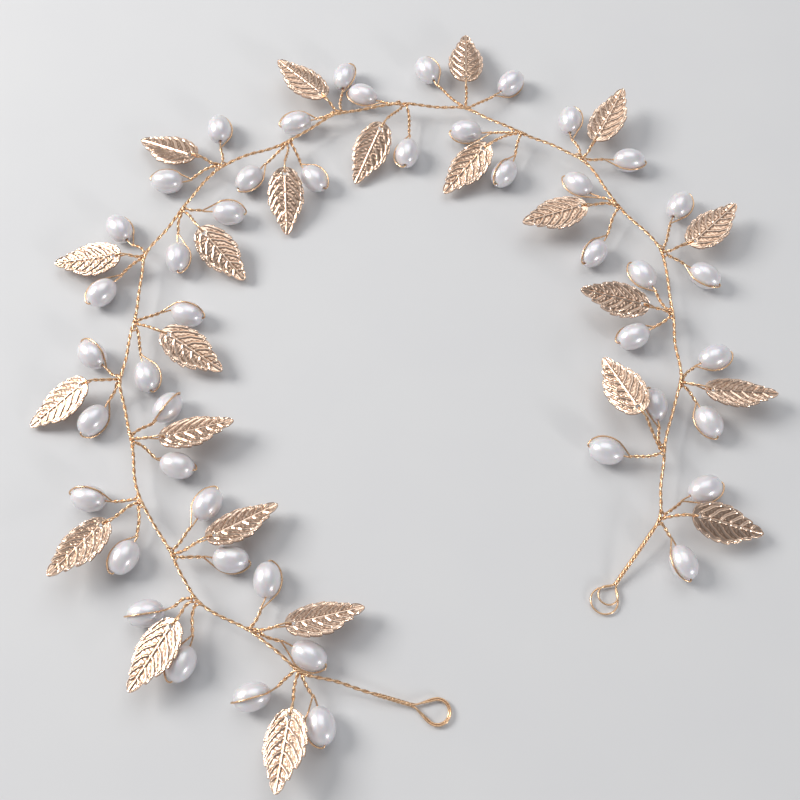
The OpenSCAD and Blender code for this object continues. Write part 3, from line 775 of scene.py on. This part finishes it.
def relief(x, y, share):
    """Height in mm over the sheet at x from the base and y from the midrib. A side vein is a line of
    equal station, which is x less a forward lean. The lean has a part that grows with the way out and a
    part that grows with its cube, so veins leave the midrib at about 53 degrees and bend along the edge.
    The gap to the nearest vein is the difference in station, made square to the vein by its slope.
    Grains are the upper part of a product of two waves. Places and reaches inside bell and ease are in
    mm, but out and share are shares of the half width and of the length."""
    side, wide = np.abs(y), half_width(share)
    out = side / np.maximum(wide, 0.3)
    to_edge = np.maximum(edge[:, None] - side, 0)
    station = x - side * (LEAN + LEAN_GROWS * out**2) - np.where(y > 0, STAGGER, 0)
    station = station + 0.10 * np.sin(2.3 * side + 1.1 * x + np.where(y > 0, 2, 0))
    phase = (station - FIRST_VEIN) / VEIN_PITCH
    squared = VEIN_PITCH / np.sqrt(1 + (LEAN + 3 * LEAN_GROWS * out**2) ** 2)
    gap = np.abs((phase + 0.5) % 1 - 0.5) * squared
    inner = ease((0.88 - out) / 0.08) * ease((side - 0.16) / 0.25) * ease((0.89 - share) / 0.04)
    midrib = MIDRIB * bell(side, 0.19) - GROOVE * bell(side - 0.42, 0.15)
    veins = (VEIN * bell(gap, 0.21) - GROOVE * bell(gap - 0.42, 0.14)) * inner
    waves = np.cos(2 * np.pi * side / 0.74) * np.cos(6 * np.pi * phase)
    between = inner * ease((gap - 0.25) / 0.14) * ease((side - 0.35) / 0.15)
    grains = GRAIN * np.maximum(waves, -0.25) * between
    from_scallop = (out - 0.84 - 0.035 * np.cos(2 * np.pi * phase)) * wide
    scallop = SCALLOP * bell(from_scallop, 0.18) * ease((side - 0.4) / 0.5)
    on_margin = ease((out - 0.88) / 0.05) * ease((to_edge - 0.12) / 0.1)
    hatch = HATCH * np.cos(2 * np.pi * x / 0.56) * on_margin
    rim = RIM * bell(to_edge - 0.14, 0.11)
    high = midrib - PANEL * inner + veins + grains + scallop + hatch + rim
    calm = ease((np.hypot(x - INSET, y) - 0.72) / 0.4)
    calm = calm * (0.25 + 0.75 * ease((x - INSET + 0.9) / 1.2)) * (0.2 + 0.8 * ease((1 - share) / 0.05))
    return high * calm - ROUNDED * ease(1 - to_edge / 0.1)


# %% The sheet of a leaf
LEAN_AT_EDGE, BEND_SPAN, RIM_CELLS, HOLLOW_BELOW = 0.35, 15, 0.3, 0.1


def leaf_sheet(curl, twist_by):
    """A closed sheet in the leaf's own frame, as corners, faces and the relief at each corner. The top is
    the cupped sheet plus the relief; the bottom is the same sheet with half the relief, cut off low, so
    that the veins don't show through. Cells over the hole are left out, and their rim is drawn on to
    the hole's circle. Every edge that has a face on one side only gets a wall."""
    share, across = np.meshgrid(shares, columns, indexing="ij")
    y = across * edge[:, None]
    in_lobes = ease((LAST_NOTCH - share) / 0.03) * (share > FIRST_NOTCH)
    lean = LEAN_AT_EDGE * (1 - cut)[:, None] * np.abs(across) ** 8 * in_lobes
    from_base = share * LEAF_LONG
    high = relief(from_base, y, share)
    x = from_base - INSET + lean
    bent = np.sqrt(CUP**2 - y**2) - CUP + curl * (x / BEND_SPAN) ** 2 + twist_by * (x / BEND_SPAN) * y
    grid = np.stack([x, y, bent], axis=-1).reshape(-1, 3)
    rows, cols = share.shape
    r, c = np.meshgrid(np.arange(rows - 1), np.arange(cols - 1), indexing="ij")
    corner = r * cols + c
    quads = np.stack([corner, corner + cols, corner + cols + 1, corner + 1], axis=-1).reshape(-1, 4)
    middle = grid[quads].mean(axis=1)
    quads = quads[np.hypot(middle[:, 0], middle[:, 1]) > HOLE]
    edges = np.stack([quads, np.roll(quads, -1, axis=1)], axis=-1).reshape(-1, 2)
    number = edges.min(axis=1) * len(grid) + edges.max(axis=1)
    _, first, count = np.unique(number, return_index=True, return_counts=True)
    border = edges[first[count == 1]]
    from_hole = np.hypot(grid[:, 0], grid[:, 1])
    round_hole = np.unique(border[from_hole[border].max(axis=1) < HOLE + RIM_CELLS])
    grid[round_hole, :2] *= (HOLE / from_hole[round_hole])[:, None]
    top, bottom = grid.copy(), grid.copy()
    top[:, 2] += SHEET / 2 + high.ravel()
    bottom[:, 2] += -SHEET / 2 + 0.5 * np.minimum(high.ravel(), HOLLOW_BELOW)
    total = len(grid)
    walls = np.stack([border[:, 1], border[:, 0], border[:, 0] + total, border[:, 1] + total], axis=1)
    faces = np.concatenate([quads, quads[:, ::-1] + total, walls])
    used, faces = np.unique(faces, return_inverse=True)
    # The underside stores a lower level than the top, so it takes more of the painted hollow shade.
    level = np.concatenate([high.ravel(), 0.6 * high.ravel() - 0.05])
    return np.concatenate([top, bottom])[used], faces.reshape(-1, 4), level[used]


flat_leaf, leaf_faces, _ = leaf_sheet(0, 0)
print("one leaf:", len(leaf_faces), "faces, box", np.round(np.ptp(flat_leaf, axis=0), 2).tolist())

# %% [markdown]
# ## Stamped brass
#
# The plating is a champagne gold, pinker than the wire. Stamping leaves the raised veins burnished and the
# hollows duller, so the hollows are rougher. Their dark colour is painted shade, for the shade and the dark
# reflections that gather in them. A second material for the hollows would end in a hard line, so there is
# one, and the stored relief drives both its painted shade and its roughness. The leaf's UV map lies flat
# over it, for anyone who wants to paint on it later.

# %% Leaf material
# The dark hollow colour is painted shade; champagne, pink gold and dull brass are the plating's own tones.
CHAMPAGNE, PINK_GOLD, PAINTED_HOLLOW_SHADE, DULL_BRASS = (
    (0.97, 0.70, 0.51), (0.95, 0.75, 0.63), (0.27, 0.13, 0.07), (0.66, 0.42, 0.25))
# Relief levels: full painted shade at the first, none above the second.
HOLLOW, SHADE_ENDS_AT = -0.13, -0.025
leaf_paint = Paint("stamped_champagne_brass", Metallic=1.0)
height = leaf_paint.node("ShaderNodeAttribute", {"attribute_name": "relief"}, output="Fac")
raised = leaf_paint.node("ShaderNodeMapRange", {},
                         {"Value": height, "From Min": HOLLOW, "From Max": SHADE_ENDS_AT})
where = leaf_paint.where()
mottled = leaf_paint.noise(where, scale=1500.0, detail=3.0)
lit = leaf_paint.mix(leaf_paint.noise(where, scale=140.0), CHAMPAGNE, PINK_GOLD)
# Painted shade: the hollows take the dark colour where the stored relief is low.
plating_with_painted_shade = leaf_paint.mix(raised, PAINTED_HOLLOW_SHADE, lit)
leaf_paint.use(
    Base_Color=leaf_paint.mix(mottled * 0.3, plating_with_painted_shade, DULL_BRASS),
    Roughness=mottled * 0.14 + 0.22 - raised * 0.11,
    Normal=leaf_paint.bump(0.35, 0.06, mottled))
print("leaf material:", len(leaf_paint.tree.nodes), "nodes")


# %% Leaf pieces
CURL, DROOP, TWIST = 0.25, 0.1, 0.04


def leaf_piece(leaf, number):
    """A leaf turned from its own frame into place: x along, y across, z along the hole's axis."""
    points, faces, level = leaf_sheet(CURL * chance(number, 9) - DROOP, TWIST * chance(number, 10))
    turn = np.stack([leaf["along"], leaf["across"], leaf["normal"]])
    piece = make_piece(leaf["node"].replace("leaf", "stamped_leaf"), leaf["centre"] + points @ turn,
                       faces.tolist(), leaf_paint.material, leaf["node"], [leaf["node"]])
    stored = piece.data.attributes.new("relief", "FLOAT", "POINT")
    stored.data.foreach_set("value", level.astype(np.float32))
    uv = piece.data.uv_layers.new(name="leaf")
    uv.data.foreach_set("uv", (points[faces.ravel()][:, :2] / LEAF_LONG).astype(np.float32).ravel())


for number, leaf in enumerate(leaves):
    leaf_piece(leaf, number)
print("leaves:", len(leaves))

# %% [markdown]
# ## Floor, light and camera
#
# Small bright metal only looks like metal when it has something light and something dark to mirror. So the
# room is a mid grey, a broad soft panel stands low on the left, a wide one hangs above, and a small one in
# front adds a second glint. The floor is pale. The camera looks down steeply, as at a vine on a table. Far
# off, the floor fades to one pale tone, for every ray that is seen or mirrored, so that it lights nothing.
# The room meets it there: it is that tone at the horizon and grows darker overhead.

# %% Floor material
BACKDROP, ROOM = (0.68, 0.68, 0.69), (0.22, 0.225, 0.24)
PALE, PALER = (0.65, 0.65, 0.66), (0.68, 0.68, 0.68)
FADE_FROM, FADE_TO = 0.22, 0.5  # metres from the middle
floor_paint = Paint("pale_floor", Roughness=0.9, Specular_IOR_Level=0.1)
where = floor_paint.where()
floor_paint.use(Base_Color=floor_paint.mix(floor_paint.noise(where, scale=40.0), PALE, PALER))
from_middle = floor_paint.node("ShaderNodeVectorMath", {"operation": "LENGTH"}, {0: where}, "Value")
far_off = floor_paint.node("ShaderNodeMapRange", {"interpolation_type": "SMOOTHSTEP"},
                           {"Value": from_middle, "From Min": FADE_FROM, "From Max": FADE_TO})
eye, mirror, glass = (floor_paint.node("ShaderNodeLightPath", output=f"Is {kind} Ray")
                      for kind in ("Camera", "Glossy", "Transmission"))
seen = far_off * eye.maths("MAXIMUM", eye.maths("MAXIMUM", eye, mirror), glass)
backdrop = floor_paint.node("ShaderNodeEmission", {}, {"Color": (*BACKDROP, 1)})
plain = Value(floor_paint, floor_paint.surface.outputs[0])
both = floor_paint.node("ShaderNodeMixShader", {}, {0: seen, 1: plain, 2: backdrop})
floor_paint.set(floor_paint.tree.nodes["Material Output"], {"Surface": both})
print("floor material:", len(floor_paint.tree.nodes), "nodes")

# %% Floor
FLOOR_REACH = 3.0
floor_mesh = bpy.data.meshes.new("floor")
floor_corners = [(FLOOR_REACH * x, FLOOR_REACH * y, 0) for x, y in ((-1, -1), (1, -1), (1, 1), (-1, 1))]
floor_mesh.from_pydata(floor_corners, [], [(0, 1, 2, 3)])
floor_mesh.materials.append(floor_paint.material)
floor = bpy.data.objects.new("floor", floor_mesh)
bpy.context.scene.collection.objects.link(floor)
print("floor: %.0f m across" % (2 * FLOOR_REACH))

# %% Room
HORIZON, OVERHEAD = np.sin(np.radians((8, 35)))
world = bpy.data.worlds.new("soft_room")
world.use_nodes = True
kinds = ("TexCoord", "SeparateXYZ", "MapRange", "Mix")
way, parts, overhead, sky = (world.node_tree.nodes.new("ShaderNode" + kind) for kind in kinds)
overhead.interpolation_type, sky.data_type = "SMOOTHSTEP", "RGBA"
overhead.inputs["From Min"].default_value = HORIZON
overhead.inputs["From Max"].default_value = OVERHEAD
sky.inputs[MIX_A].default_value, sky.inputs[MIX_B].default_value = (*BACKDROP, 1), (*ROOM, 1)
for start, end in ((way.outputs["Generated"], parts.inputs[0]),
                   (parts.outputs["Z"], overhead.inputs["Value"]),
                   (overhead.outputs[0], sky.inputs[MIX_SHARE]),
                   (sky.outputs[MIX_RESULT], world.node_tree.nodes["Background"].inputs["Color"])):
    world.node_tree.links.new(start, end)
bpy.context.scene.world = world
bpy.context.scene.view_settings.view_transform = "Standard"
print("room: from", BACKDROP, "at the horizon to", ROOM, "overhead")


# %% Soft panels
def panel(name, place, size, power, colour=(1, 1, 1)):
    """A soft square light of a size in metres, at a place, that looks at the middle of the vine: its own
    z axis is turned to lie along the line from the middle to the place."""
    light = bpy.data.lights.new(name, "AREA")
    light.size, light.energy, light.color = size, power, colour
    lamp = bpy.data.objects.new(name, light)
    lamp.location = place
    lamp.rotation_mode = "QUATERNION"
    lamp.rotation_quaternion = (-lamp.location).to_track_quat("-Z", "Y")
    bpy.context.scene.collection.objects.link(lamp)


panel("low_left_panel", (-0.70, 0.22, 0.55), 0.40, 6.8, (1.0, 0.985, 0.96))
panel("upper_panel", (0.05, 0.45, 0.85), 0.8, 3.1, (0.97, 0.985, 1.0))
panel("front_panel", (0.55, -0.55, 0.26), 0.14, 1.3)
print("panels:", len(bpy.data.lights))

# %% Camera
CAMERA_PLACE, LOOKS_DOWN = (-0.0009, -0.1123, 0.2348), 66.2
camera = bpy.data.objects.new("camera", bpy.data.cameras.new("camera"))
camera.data.lens, camera.data.sensor_width = 50, 36
camera.data.clip_start, camera.data.clip_end = 0.01, 20
camera.location = CAMERA_PLACE
camera.rotation_euler = (np.radians(90 - LOOKS_DOWN), 0, 0)
bpy.context.scene.collection.objects.link(camera)
bpy.context.scene.camera = camera
print("camera height: %.0f mm" % (MM_IN_M * CAMERA_PLACE[2]))
